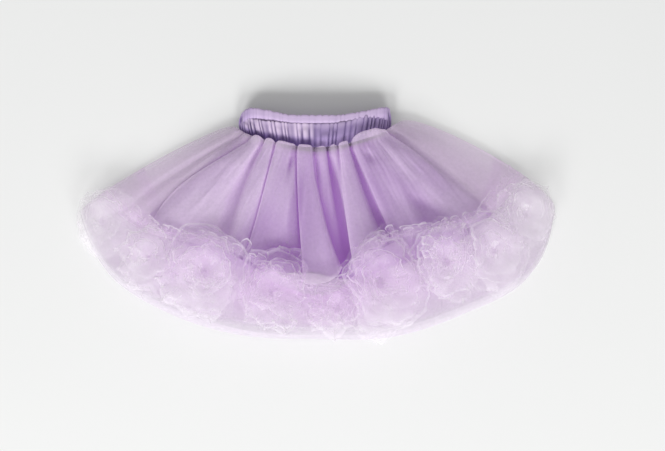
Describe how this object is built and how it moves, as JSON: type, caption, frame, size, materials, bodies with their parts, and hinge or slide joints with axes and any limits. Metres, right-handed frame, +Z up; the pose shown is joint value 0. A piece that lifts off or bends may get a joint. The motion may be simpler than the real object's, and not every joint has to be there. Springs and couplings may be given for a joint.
{
  "type": "tulle skirt",
  "caption": "Child's gathered tulle skirt with a shirred elastic waistband and a rosette hem tier, laid flat on its back.",
  "frame": {"origin": "middle of the skirt's outline on the surface it lies on", "axes": "+X to the side of the skirt that is on the right in the picture, +Y from the hem to the waist, +Z up from the surface"},
  "size_m": [0.6624, 0.3219, 0.0895],
  "materials": {
    "waistband_knit": "soft matt knit, closely shirred over elastic",
    "outer_net": "sheer fine net with a faint sheen",
    "lining_satin": "smooth lining cloth, seen through the net",
    "ruffle_net": "sheer fine net in several layers, crumpled"
  },
  "bodies": {
    "root": {"waistband": "waistband_knit", "outer_front": "outer_net", "outer_back": "outer_net", "lining_front": "lining_satin", "lining_back": "lining_satin", "hem_tier_front": "ruffle_net", "hem_tier_back": "ruffle_net", "rosette_1": "ruffle_net", "rosette_2": "ruffle_net", "rosette_3": "ruffle_net", "rosette_4": "ruffle_net", "rosette_5": "ruffle_net", "rosette_6": "ruffle_net", "rosette_7": "ruffle_net", "rosette_8": "ruffle_net", "rosette_9": "ruffle_net"}
  },
  "joints": []
}
